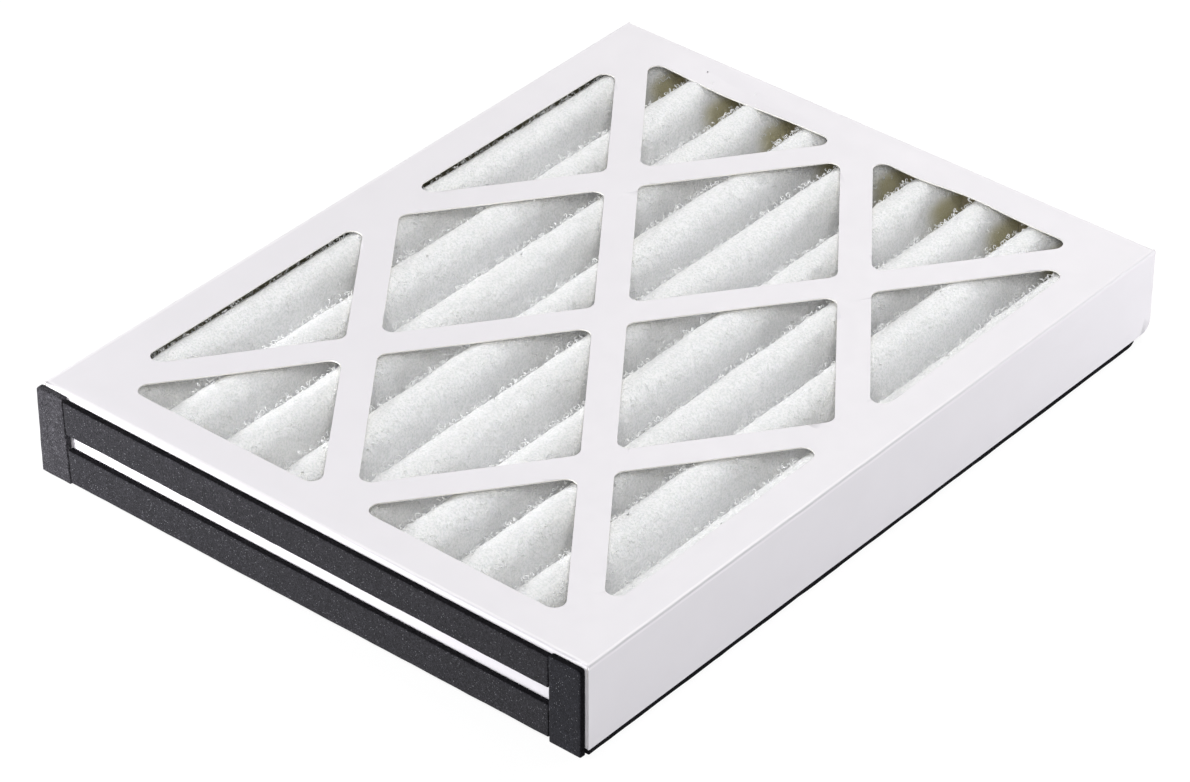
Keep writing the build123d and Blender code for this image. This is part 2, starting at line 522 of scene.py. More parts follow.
@dataclass(frozen=True)
class CutBoard(Finish):
    """The die-cut edge of the board, with its pulp showing in layers."""

    pulp: Colour = (0.8, 0.785, 0.745)
    liner: Colour = (0.86, 0.85, 0.83)
    fibre: Colour = (0.9, 0.87, 0.8)
    layering: Colour = (60, 60, 5200)

    def wire(self, bench: NodeBench, place: Socket) -> dict[str, object]:
        """Wires cream pulp in thin layers between paler liners.

        Args:
            bench: The material's bench.
            place: The tray's own coordinates.

        Returns:
            The shader's inputs by name.
        """
        fibres = CurlyFibres.use(bench, place, Scale=900.0, Width=0.06, Curl=0.5)
        layers = bench.grain(bench.moved(place, Scale=self.layering), 1.0, 1.0)
        mottle = SlowMottle.use(bench, place, Scale=140.0, Strength=0.3)["Factor"]
        share = bench.math("MULTIPLY", bench.fade(layers, 0.4, 0.6), mottle, clamp=True)
        colour = bench.blend(share, self.pulp, self.liner)
        colour = bench.blend(bench.math("MULTIPLY", fibres["Fibres"], 0.35), colour, self.fibre)
        height = bench.math("ADD", fibres["Depth"], layers)
        return {"Base Color": colour, "Roughness": 0.85, "Normal": bench.bump(height, 0.5, 0.0001)}


@dataclass(frozen=True)
class KraftBoard(Finish):
    """The bare brown back of the board."""

    colour: Colour = (0.46, 0.41, 0.28)
    fibre: Colour = (0.6, 0.54, 0.4)
    speck: Colour = (0.16, 0.11, 0.07)

    def wire(self, bench: NodeBench, place: Socket) -> dict[str, object]:
        """Wires brown recycled pulp with paler and darker fibres.

        Args:
            bench: The material's bench.
            place: The tray's own coordinates.

        Returns:
            The shader's inputs by name.
        """
        fibres = CurlyFibres.use(bench, place, Scale=520.0, Width=0.035, Curl=0.7)
        mottle = SlowMottle.use(bench, place, Scale=55.0, Strength=0.35)["Factor"]
        specks = bench.fade(bench.grain(place, 700.0, 1.0), 0.66, 0.74)
        colour = bench.tinted(self.colour, mottle)
        colour = bench.blend(bench.math("MULTIPLY", fibres["Fibres"], 0.45), colour, self.fibre)
        colour = bench.blend(bench.math("MULTIPLY", specks, 0.5), colour, self.speck)
        height = bench.math("ADD", fibres["Depth"], bench.grain(place, 1600.0))
        return {"Base Color": colour, "Roughness": 0.9, "Normal": bench.bump(height, 0.5, 0.0001)}


@dataclass(frozen=True)
class Wadding(Finish):
    """Matted white polyester fibres, darkened to an olive brown low in the valleys at their ends:
    painted shade, tinted by light bounced off the brown board.
    """

    # The fibre pattern is the mat's texture; the darker, greenish gap tone between the fibres is
    # painted shade.
    gap: Colour = (0.735, 0.765, 0.76)
    fibre: Colour = (0.99, 0.985, 1.0)
    # The olive end colour is painted shade with a brown bounced tint, low in the valleys by the end
    # walls.
    end_shade: Colour = (0.5, 0.455, 0.24)
    end_shade_share: float = 0.96
    end_shade_x: tuple[float, float] = (0.192, 0.21)
    end_shade_heights: tuple[float, float] = (0.047, 0.037)

    def wire(self, bench: NodeBench, place: Socket) -> dict[str, object]:
        """Wires a mat of curly fibres, coarse over fine, over gaps darkened with painted shade.

        Args:
            bench: The material's bench.
            place: The web's own coordinates.

        Returns:
            The shader's inputs by name.
        """
        coarse = CurlyFibres.use(bench, place, Scale=330.0, Width=0.07, Curl=1.1)
        moved = bench.moved(place, Location=(0.31, 0.17, 0.05), Scale=(1.25, 0.8, 1.1))
        fine = CurlyFibres.use(bench, moved, Scale=820.0, Width=0.12, Curl=0.6)
        mottle = SlowMottle.use(bench, place, Scale=110.0, Strength=0.3)["Factor"]
        clump = bench.fade(bench.grain(place, 820.0, 3.0), 0.38, 0.62)
        mat = bench.math("MULTIPLY_ADD", coarse["Fibres"], 0.25, 0.18)
        mat = bench.math("MULTIPLY_ADD", fine["Depth"], 0.25, mat)
        mat = bench.math("MULTIPLY_ADD", clump, 0.6, mat)
        mat = bench.math("MULTIPLY", mat, mottle, clamp=True)
        parts = bench.axes(place)
        # Painted shade: the web turns olive near the end walls and low in the valleys.
        end_shade_mask = bench.fade(bench.math("ABSOLUTE", parts["X"]), *self.end_shade_x)
        end_shade_mask = bench.math("MULTIPLY", end_shade_mask, bench.fade(parts["Z"], *self.end_shade_heights))
        end_shade_mask = bench.math("MULTIPLY", end_shade_mask, self.end_shade_share)
        height = bench.math("MULTIPLY_ADD", bench.grain(place, 240.0, 4.0), 2.2, mat)
        return {
            "Base Color": bench.blend(end_shade_mask, bench.blend(mat, self.gap, self.fibre), self.end_shade),
            "Roughness": 0.8,
            "Specular IOR Level": 0.3,
            "Subsurface Weight": 0.7,
            "Subsurface Radius": (1.0, 1.0, 0.95),
            "Subsurface Scale": 0.003,
            "Sheen Weight": 0.5,
            "Sheen Roughness": 0.5,
            "Normal": bench.bump(height, 0.8, 0.0006),
        }


@dataclass(frozen=True)
class LooseFibre(Finish):
    """Single polyester fibres that stand off the mat."""

    colour: Colour = (1.0, 1.0, 1.0)
    shaded: Colour = (0.88, 0.9, 0.89)

    def wire(self, bench: NodeBench, place: Socket) -> dict[str, object]:
        """Wires a slightly glossy white thread.

        Args:
            bench: The material's bench.
            place: The fibres' own coordinates.

        Returns:
            The shader's inputs by name.
        """
        lit = bench.fade(bench.grain(place, 420.0, 1.0), 0.44, 0.52)
        colour = bench.blend(lit, self.shaded, self.colour)
        return {"Base Color": colour, "Roughness": 0.4, "Sheen Weight": 0.3}


@dataclass(frozen=True)
class FoamTape(Finish):
    """Soft charcoal foam with fine open cells."""

    colour: Colour = (0.005, 0.0048, 0.006)
    wall: Colour = (0.038, 0.0365, 0.044)
    glint: Colour = (0.2, 0.2, 0.215)
    gloss: float = 0.15

    def wire(self, bench: NodeBench, place: Socket) -> dict[str, object]:
        """Wires small cells with paler walls and a few glints.

        Args:
            bench: The material's bench.
            place: The tape's own coordinates.

        Returns:
            The shader's inputs by name.
        """
        cells = bench.node("ShaderNodeTexVoronoi", {"Vector": place, "Scale": 1600.0}).outputs
        tones = bench.node("ShaderNodeSeparateColor", {0: cells["Color"]}).outputs
        mottle = SlowMottle.use(bench, place, Scale=150.0, Strength=1.1)["Factor"]
        walls = bench.fade(cells["Distance"], 0.2, 0.75, 0.12, 1.0)
        share = bench.math("MULTIPLY", bench.math("MULTIPLY", tones[0], 0.95), walls)
        share = bench.math("MULTIPLY", share, mottle, clamp=True)
        middles = bench.fade(cells["Distance"], 0.45, 0.2)
        glints = bench.math("MULTIPLY", bench.fade(tones[1], 0.9, 0.96), middles)
        glints = bench.math("MULTIPLY", glints, 0.8)
        colour = bench.blend(share, self.colour, self.wall)
        height = bench.math("ADD", cells["Distance"], bench.grain(place, 500.0))
        return {
            "Base Color": bench.blend(glints, colour, self.glint),
            "Roughness": 0.9,
            "Specular IOR Level": self.gloss,
            "Sheen Weight": self.gloss / 5,
            "Normal": bench.bump(height, 0.6, 0.0003),
        }


@dataclass(frozen=True)
class GalvanisedWire(Finish):
    """Drawn steel wire with a dull zinc coat."""

    colour: Colour = (0.56, 0.57, 0.58)

    def wire(self, bench: NodeBench, place: Socket) -> dict[str, object]:
        """Wires a cloudy zinc coat with fine drawing marks.

        Args:
            bench: The material's bench.
            place: The wires' own coordinates.

        Returns:
            The shader's inputs by name.
        """
        mottle = SlowMottle.use(bench, place, Scale=320.0, Strength=0.5)["Factor"]
        marks = bench.grain(place, 2600.0, 3.0)
        return {
            "Base Color": bench.tinted(self.colour, mottle),
            "Metallic": 0.9,
            "Roughness": bench.math("MULTIPLY_ADD", marks, 0.25, 0.25),
            "Normal": bench.bump(marks, 0.2, 0.00005),
        }


@dataclass(frozen=True)
class StudioFloor(Finish):
    """The white table, which shows white with a shadow and lights the object as an off-white floor.
    """

    bounce: Colour = (0.78, 0.78, 0.79)
    shadow_depth: float = 0.14
    lamplight: float = 1.25

    def shade(self, bench: NodeBench) -> Socket:
        """Wires a white floor for the camera, open from below, and a plain one for the light.

        Args:
            bench: The material's bench.

        Returns:
            The shader.
        """
        path = bench.node("ShaderNodeLightPath").outputs
        seen = bench.math("MAXIMUM", path["Is Camera Ray"], path["Is Glossy Ray"])
        white = (1 - self.shadow_depth,) * 3 + (1.0,)
        glow = bench.node("ShaderNodeEmission", {"Color": white, "Strength": 1.0}).outputs[0]
        dull = (self.shadow_depth * self.lamplight,) * 3 + (1.0,)
        shadow = bench.node("ShaderNodeBsdfDiffuse", {"Color": dull}).outputs[0]
        shown = bench.node("ShaderNodeAddShader", {0: glow, 1: shadow}).outputs[0]
        plain = bench.node("ShaderNodeBsdfDiffuse", {"Color": (*self.bounce, 1.0)}).outputs[0]
        upper = bench.node("ShaderNodeMixShader", {0: seen, 1: plain, 2: shown}).outputs[0]
        clear = bench.node("ShaderNodeBsdfTransparent").outputs[0]
        back = bench.node("ShaderNodeNewGeometry").outputs["Backfacing"]
        through = bench.math("MULTIPLY", back, path["Is Camera Ray"])
        return bench.node("ShaderNodeMixShader", {0: through, 1: upper, 2: clear}).outputs[0]


class Slot(Enum):
    """The record's material slots."""

    BOARD = "board"
    WADDING = "wadding"
    WIRE = "wire"
    FOAM = "foam"


# Shared shaping


class Pen:
    """Draws or sweeps geometry through straight runs and bends about X."""

    def __init__(self, bm: bmesh.types.BMesh, geometry: Iterable) -> None:
        """Takes what is swept.

        Args:
            bm: The mesh to draw in.
            geometry: The vertices and edges to move on from.
        """
        self.bm = bm
        self.tip = list(geometry)

    def run(self, offset: Vector, steps: int = 1) -> None:
        """Sweeps straight on.

        Args:
            offset: How far, in metres.
            steps: In how many equal steps.
        """
        self._spin(Vector(), 0.0, steps, offset / steps)

    def bend(self, centre: Vector, angle: float, steps: int) -> None:
        """Sweeps round a line along X.

        Args:
            centre: A point on the line.
            angle: The turn in radians.
            steps: In how many equal steps.
        """
        self._spin(centre, angle, steps, Vector())

    def _spin(self, centre: Vector, angle: float, steps: int, offset: Vector) -> None:
        """Moves the tip on by one spin.

        Args:
            centre: A point on the axis.
            angle: The turn in radians.
            steps: In how many equal steps.
            offset: How far each step moves.
        """
        swept = bmesh.ops.spin(
            self.bm, geom=self.tip, cent=centre, axis=(1, 0, 0), dvec=offset, angle=angle,
            steps=steps, use_merge=False, use_duplicate=False,
        )
        self.tip = [item for item in swept["geom_last"] if not isinstance(item, bmesh.types.BMFace)]


def bisect(bm: bmesh.types.BMesh, axis: int, levels: Iterable[float]) -> None:
    """Cuts every face along planes square to an axis.

    Args:
        bm: The mesh.
        axis: 0, 1 or 2 for X, Y or Z.
        levels: Where the planes are, in millimetres.
    """
    normal = Vector((axis == 0, axis == 1, axis == 2))
    for level in levels:
        everything = bm.verts[:] + bm.edges[:] + bm.faces[:]
        bmesh.ops.bisect_plane(
            bm, geom=everything, dist=SAME_PLACE, plane_co=normal * level * MM, plane_no=normal
        )


def lumps(point: Vector, size: float, seed: float) -> float:
    """Gives smooth noise.

    Args:
        point: A place, in metres.
        size: How large the lumps are, in millimetres.
        seed: Which noise of many.

    Returns:
        A number from about -1 to 1.
    """
    return noise.noise(point / (size * MM) + Vector((seed, seed * 1.7, seed * 0.6)))


def table(items: bpy.types.bpy_prop_collection, name: str, kind: type = float) -> np.ndarray:
    """Reads a three-part property of each vertex or triangle.

    Args:
        items: The vertices or the faces.
        name: The property's name.
        kind: The type of its numbers.

    Returns:
        A row for each item.
    """
    values = np.zeros(len(items) * 3, kind)
    items.foreach_get(name, values)
    return values.reshape(-1, 3)


def finished_piece(
    bm: bmesh.types.BMesh, name: str, finishes: Iterable[Finish],
    nodes: Iterable[str] = (), sharp: float = 32.0,
) -> bpy.types.Object:
    """Turns a mesh into a piece that rides on the filter.

    Args:
        bm: The mesh, which is freed.
        name: The piece's name.
        finishes: Its finishes, in the order of its faces' material numbers.
        nodes: The CAD nodes that it stands for.
        sharp: The angle in degrees from which an edge is shaded as sharp.

    Returns:
        The piece.
    """
    mesh = bpy.data.meshes.new(name)
    for face in bm.faces:
        face.smooth = True
    bm.to_mesh(mesh)
    bm.free()
    mesh.set_sharp_from_angle(angle=math.radians(sharp))
    for finish in finishes:
        mesh.materials.append(finish.material())
    piece = bpy.data.objects.new(name, mesh)
    bpy.context.scene.collection.objects.link(piece)
    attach(piece, "root")
    if nodes:
        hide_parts(*nodes)
    mesh.calc_loop_triangles()
    LOG.info("%s: %d triangles", name, len(mesh.loop_triangles))
    return piece


# The card


@dataclass(frozen=True)
class Dent:
    """A place where the board has given a little, in millimetres."""

    x: float
    y: float
    spread_x: float
    spread_y: float
    drop: float = 0.0
    slide_x: float = 0.0
    slide_y: float = 0.0

    def pull(self, point: Vector) -> Vector:
        """Gives how far the dent moves a point.

        Args:
            point: The point, in metres.

        Returns:
            The move, in metres.
        """
        away_x = (point.x / MM - self.x) / self.spread_x
        away_y = (point.y / MM - self.y) / self.spread_y
        weight = math.exp(-(away_x**2) - away_y**2)
        return mm(self.slide_x, self.slide_y, -self.drop) * weight


class BoardSide(Enum):
    """Which surface of the board a face belongs to."""

    COATED = 0
    CUT = 1
    KRAFT = 2


@dataclass
class CardTray:
    """A creased and die-cut tray, in millimetres: a lattice face with four walls.

    Each turn is the least share of its normal that a face has along its own way when it is no
    cut edge: on the lattice face, a glue tab or a wall. A fold's cut end has more than end_turn
    along the fold.
    """

    piece: str
    node: str
    half_length: float
    half_width: float
    face_z: float
    upward: bool
    dents: tuple[Dent, ...] = ()
    board: float = 0.8
    crease: float = 1.2
    cell: float = 11.0
    wall_cuts: tuple[float, ...] = (16.0, 29.0, 42.0)
    hold: float = 18.0
    sag: float = 0.35
    ripple: float = 0.3
    bow: float = 0.14
    bow_from: float = 12.0
    slack: float = 0.01
    face_depth: float = 1.5
    middle_depth: float = 25.0
    face_turn: float = 0.5
    tab_turn: float = 0.7
    wall_turn: float = 0.6
    end_turn: float = 0.9

    def side_of(self, face: bmesh.types.BMFace) -> BoardSide:
        """Tells the coated side from the back and from a cut edge.

        Args:
            face: A face of the tray.

        Returns:
            The side.
        """
        spot, normal = face.calc_center_median() / MM, face.normal
        up = 1 if self.upward else -1
        depth = up * (self.face_z - spot.z)
        reach = self.half_length - abs(spot.x), self.half_width - abs(spot.y)
        across = 1 if reach[1] <= reach[0] else 0
        sideways = abs(normal[1 - across])
        inside = min(reach) > self.crease
        if inside and depth <= self.board + self.slack:
            facing, least = normal.z * up, self.face_turn
        elif inside:
            facing, least = math.copysign(normal.x, normal.x * spot.x), self.tab_turn
        elif depth > self.crease:
            facing = math.copysign(normal[across], normal[across] * spot[across])
            least = max(self.wall_turn, sideways)
        else:
            middle = Vector((0, 0, self.face_z - up * self.middle_depth))
            facing = (spot - middle).dot(normal)
            least = math.inf if sideways > self.end_turn else 0
        if abs(facing) < least:
            return BoardSide.CUT
        return BoardSide.COATED if facing > 0 else BoardSide.KRAFT

    def settle(self, point: Vector) -> Vector:
        """Lets the board give at its dents and wander a little elsewhere.

        Args:
            point: A point of the flat tray, in metres.

        Returns:
            The point on the tray as it has settled.
        """
        spot, up = point / MM, 1 if self.upward else -1
        in_x, in_y = self.half_length - abs(spot.x), self.half_width - abs(spot.y)
        below, height = Vector((point.x, point.y, 0)), abs(spot.z - self.face_z)
        moved = point.copy()
        if height < self.face_depth:
            free = smooth_step(self.crease, self.hold, min(in_x, in_y))
            for dent in self.dents:
                moved += dent.pull(point) * free
            moved.z -= up * MM * free * (self.sag + self.ripple * lumps(below, 70, 3.1))
            return moved
        bow = self.bow * smooth_step(0, self.bow_from, height) * (1 + lumps(below, 120, 8.4))
        if in_y < 1:
            moved.y -= math.copysign(bow * MM, point.y)
        elif in_x < 1:
            moved.x -= math.copysign(bow * MM, point.x)
        return moved

    def build(self, frame: dict) -> bpy.types.Object:
        """Makes the tray from its node's own shape.

        Args:
            frame: The loaded frame.

        Returns:
            The piece.
        """
        bm = bmesh.new()
        bm.from_mesh(frame["nodes"][self.node].data)
        bmesh.ops.remove_doubles(bm, verts=bm.verts[:], dist=SAME_PLACE)
        bm.normal_update()
        for axis, reach in ((0, self.half_length), (1, self.half_width)):
            count = int(2 * (reach - 6) // self.cell)
            bisect(bm, axis, ((n - count / 2) * self.cell for n in range(count + 1)))
        bisect(bm, 2, self.wall_cuts)
        bm.normal_update()
        for face in bm.faces:
            face.material_index = self.side_of(face).value
        for vertex in bm.verts:
            vertex.co = self.settle(vertex.co)
        coat = CoatedBoard(f"{self.piece}_coat", self.half_length, self.half_width, self.face_z)
        finishes = (coat, CutBoard("cut_board"), KraftBoard("kraft_board"))
        return finished_piece(bm, self.piece, finishes, (self.node,))


# The pleated pack


@dataclass
class Pleats:
    """The line that the wadding and its wires are folded along, in millimetres."""

    pitch: float = 38.4
    shift: float = -3.0
    count: int = 9
    half_width: float = 177.9
    crest_z: float = 40.2
    valley_z: float = 18.0
    radius: float = 7.0
    sway: tuple[float, ...] = (0.3, 0.2, -2.9, -3.9, -2.5, -2.5, -1.7, -0.5, 0.4)
    sway_heights: tuple[float, float] = (9, 50)
    wander: float = 0.7
    wander_length: float = 95

    @property
    def flank(self) -> float:
        """The flanks' angle from upright, in radians."""
        rise = self.crest_z - self.valley_z
        slope = math.atan2(rise, self.pitch / 2)
        return math.acos(2 * self.radius / math.hypot(self.pitch / 2, rise)) - slope

    def crest(self, number: int) -> float:
        """Gives where a crest's centre is across the filter."""
        return self.shift + (number - (self.count - 1) / 2) * self.pitch

    def valley(self, number: int) -> float:
        """Gives where a valley's centre is across the filter."""
        return self.shift + (number - self.count / 2) * self.pitch

    def draw(self, pen: Pen, bend_steps: int, flank_steps: int) -> None:
        """Takes a pen along the pleats from wall to wall.

        Args:
            pen: The pen, which stands at the -Y foot.
            bend_steps: Steps in each bend.
            flank_steps: Steps in each flank.
        """
        lean = self.flank
        sweep = math.pi - 2 * lean
        flank_length = math.hypot(
            self.pitch / 2 - 2 * self.radius * math.cos(lean),
            self.crest_z - self.valley_z + 2 * self.radius * math.sin(lean),
        )
        rise = Vector((0, math.sin(lean), math.cos(lean))) * flank_length * MM
        fall = Vector((0, math.sin(lean), -math.cos(lean))) * flank_length * MM
        pen.run(mm(0, self.valley(0) + self.half_width, 0))
        pen.bend(mm(0, self.valley(0), self.valley_z), sweep / 2, (bend_steps + 1) // 2)
        for number in range(self.count):
            pen.run(rise, flank_steps)
            pen.bend(mm(0, self.crest(number), self.crest_z), -sweep, bend_steps)
            pen.run(fall, flank_steps)
            last = number == self.count - 1
            turn, steps = (sweep / 2, (bend_steps + 1) // 2) if last else (sweep, bend_steps)
            pen.bend(mm(0, self.valley(number + 1), self.valley_z), turn, steps)
        pen.run(mm(0, self.half_width - self.valley(self.count), 0), 3)

    def start(self, x: float, offset: float) -> Vector:
        """Gives the foot at the -Y wall.

        Args:
            x: Where along the filter.
            offset: How far above the media's middle.

        Returns:
            The point, in metres.
        """
        return mm(x, -self.half_width, self.valley_z - self.radius + offset)

    def swayed(self, point: Vector) -> Vector:
        """Leans each pleat the way that it stands.

        Args:
            point: A point of the even pleats, in metres.

        Returns:
            The point on the leaning pleat.
        """
        y = point.y / MM
        stations = [-self.half_width, *(self.crest(n) for n in range(self.count)), self.half_width]
        leans = [0.0, *self.sway, 0.0]
        last = len(stations) - 1
        right = next((n for n in range(1, last) if y < stations[n]), last)
        share = smooth_step(stations[right - 1], stations[right], y)
        lean = leans[right - 1] * (1 - share) + leans[right] * share
        row = Vector((point.x, round(y / self.pitch) * 0.05, 0))
        along = self.wander * lumps(row, self.wander_length, 5.2)
        wall = smooth_step(0, 14, self.half_width - abs(y))
        height = smooth_step(*self.sway_heights, point.z / MM)
        return point + mm(0, (lean + along * wall) * height, 0)


@dataclass
class PleatedWadding:
    """The pleated web of wadding and the fibres that stand off it, in millimetres.

    Each swell is its height, its size and its seed. Each curl of a fibre is its least and most
    radius, its least and most turn in radians, and its steps.
    """

    pleats: Pleats
    thickness: float = 8.0
    half_length: float = 228.0
    step: float = 3.6
    swells: tuple[tuple[float, ...], ...] = ((0.45, 34, 1.3), (0.45, 12, 2.9), (0.3, 5, 7.7))
    crest_swell: float = 0.5
    crest_heights: tuple[float, float] = (44, 51)
    fibre_pieces: int = 3
    fibre_shapes: int = 14
    fibres_each: int = 5000
    fibre_radius: float = 0.18
    fibre_sizes: tuple[float, float] = (0.6, 1.3)
    fibre_spread: float = 0.9
    fibre_root: float = 0.1
    fibre_top: float = 53.0
    curls: tuple[tuple[float, ...], ...] = ((1.0, 2.2, 0.4, 1.1, 2), (0.4, 0.95, 2.4, 4.6, 4))
    seed: int = 41

    def web(self) -> bpy.types.Object:
        """Makes the web itself.

        Returns:
            The piece.
        """
        bm = bmesh.new()
        pen = Pen(bm, [bm.verts.new(self.pleats.start(-self.half_length, 0))])
        self.pleats.draw(pen, 10, 7)
        steps = round(2 * self.half_length / self.step)
        line = Pen(bm, bm.verts[:] + bm.edges[:])
        line.run(mm(2 * self.half_length, 0, 0), steps)
        bmesh.ops.recalc_face_normals(bm, faces=bm.faces[:])
        if sum(face.normal.z for face in bm.faces) < 0:
            bmesh.ops.reverse_faces(bm, faces=bm.faces[:])
        bm.normal_update()
        for vertex in bm.verts:
            vertex.co -= vertex.normal * self.thickness / 2 * MM
        bm.normal_update()
        bmesh.ops.solidify(bm, geom=bm.faces[:], thickness=-self.thickness * MM)
        bmesh.ops.recalc_face_normals(bm, faces=bm.faces[:])
        bm.normal_update()
        for vertex in bm.verts:
            vertex.co = self.fluffed(vertex.co, vertex.normal)
        finishes, nodes = (Wadding("wadding_mat"),), ("pleated_media",)
        piece = finished_piece(bm, "pleated_wadding", finishes, nodes, 75)
        return piece

    def fluffed(self, point: Vector, normal: Vector) -> Vector:
        """Makes the cut sheet soft and uneven.

        Args:
            point: A point of the even web.
            normal: The way out of it.

        Returns:
            The point on the soft web.
        """
        swell = sum(height * lumps(point, size, seed) for height, size, seed in self.swells)
        free = smooth_step(0, 6, self.half_length - abs(point.x) / MM)
        free *= smooth_step(0, 5, self.pleats.half_width - abs(point.y) / MM)
        crest = smooth_step(*self.crest_heights, point.z / MM)
        moved = point + normal * (swell + self.crest_swell * crest) * free * MM
        return self.pleats.swayed(moved)

    def fibre(self, chance: random.Random) -> bpy.types.Mesh:
        """Makes one curly fibre that starts at the origin and rises along Z.

        Args:
            chance: The source of chance.

        Returns:
            Its mesh.
        """
        bm = bmesh.new()
        made = bmesh.ops.create_circle(bm, segments=3, radius=self.fibre_radius * MM, cap_ends=True)
        ring, heading = made["verts"], Vector((0, 0, 1))
        for low, high, least, most, steps in self.curls:
            tip = ring + [edge for edge in bm.edges if all(v in ring for v in edge.verts)]
            middle = sum((v.co for v in ring), Vector()) / 3
            side = heading.cross(Vector(chance.uniform(-1, 1) for _ in range(3))).normalized()
            radius, angle = chance.uniform(low, high) * MM, chance.uniform(least, most)
            axis = heading.cross(side).normalized()
            swept = bmesh.ops.spin(
                bm, geom=tip, cent=middle + side * radius, axis=axis, angle=angle, steps=steps,
                dvec=(0, 0, 0), use_merge=False, use_duplicate=False,
            )
            ring = [v for v in swept["geom_last"] if isinstance(v, bmesh.types.BMVert)]
            heading = Matrix.Rotation(angle, 3, axis) @ heading
        bmesh.ops.contextual_create(bm, geom=ring)
        bmesh.ops.recalc_face_normals(bm, faces=bm.faces[:])
        mesh = bpy.data.meshes.new("fibre")
        bmesh.ops.triangulate(bm, faces=bm.faces[:])
        bm.to_mesh(mesh)
        bm.free()
        return mesh

    def fuzz(self, web: bpy.types.Object) -> list[bpy.types.Object]:
        """Scatters curly fibres over the web.

        Args:
            web: The finished web.

        Returns:
            The pieces.
        """
        chance = random.Random(self.seed)
        shapes = [self.fibre(chance) for _ in range(self.fibre_shapes)]
        faces = web.data.polygons
        centres, normals = table(faces, "center"), table(faces, "normal")
        columns = np.floor((centres[:, 0] / MM + self.half_length) / self.step)
        order = np.lexsort((centres[:, 2], centres[:, 1], columns))
        centres, normals = centres[order], normals[order]
        upward, leaning = normals[:, 2], abs(normals[:, 1])
        across, height = abs(centres[:, 1]) / MM, centres[:, 2] / MM
        inlet_side = (upward > -0.1) & (height > 26) & (across < 170)
        shoulder = np.exp(-(((leaning - 0.73) / 0.2) ** 2)) * (height > 38)
        weights = inlet_side * (0.12 + 3.5 * shoulder)
        deal = np.random.default_rng(self.seed)
        return [
            self._scatter(f"loose_fibres_{n + 1}", shapes, centres, normals, weights, deal)
            for n in range(self.fibre_pieces)
        ]

    def _scatter(
        self, name: str, shapes: list[bpy.types.Mesh], centres: np.ndarray, normals: np.ndarray,
        weights: np.ndarray, deal: np.random.Generator,
    ) -> bpy.types.Object:
        """Plants one piece's share of the fibres.

        Args:
            name: The piece's name.
            shapes: The fibres to choose from.
            centres: Where a fibre may stand.
            normals: Which way the web faces there.
            weights: How often each place is chosen.
            deal: The source of chance.

        Returns:
            The piece.
        """
        points, corners, total = [], [], 0
        share = self.fibres_each // len(shapes)
        for shape in shapes:
            own, sides = table(shape.vertices, "co"), table(shape.polygons, "vertices", int)
            chosen = deal.choice(len(centres), share, p=weights / weights.sum())
            up = normals[chosen] + deal.normal(0, 0.55, (share, 3))
            up /= np.linalg.norm(up, axis=1, keepdims=True)
            side = np.cross(up, deal.normal(0, 1, (share, 3)))
            side /= np.linalg.norm(side, axis=1, keepdims=True)
            frame = np.stack([side, np.cross(up, side), up], axis=2)
            spot = centres[chosen] + deal.normal(0, self.fibre_spread * MM, (share, 3))
            spot -= normals[chosen] * self.fibre_root * MM
            size = deal.uniform(*self.fibre_sizes, (share, 1, 1))
            placed = np.einsum("nij,vj->nvi", frame, own) * size + spot[:, None, :]
            points.append(placed.reshape(-1, 3))
            firsts = total + np.arange(share)[:, None, None] * len(own)
            corners.append((sides + firsts).reshape(-1, 3))
            total += share * len(own)
        points, corners = np.concatenate(points), np.concatenate(corners)
        room = np.array((self.half_length, self.pleats.half_width, self.fibre_top)) * MM
        mesh = bpy.data.meshes.new(name)
        mesh.from_pydata(np.clip(points, -room, room), [], corners)
        bm = bmesh.new()
        bm.from_mesh(mesh)
        bpy.data.meshes.remove(mesh)
        return finished_piece(bm, name, (LooseFibre("loose_fibre"),), (), 180)


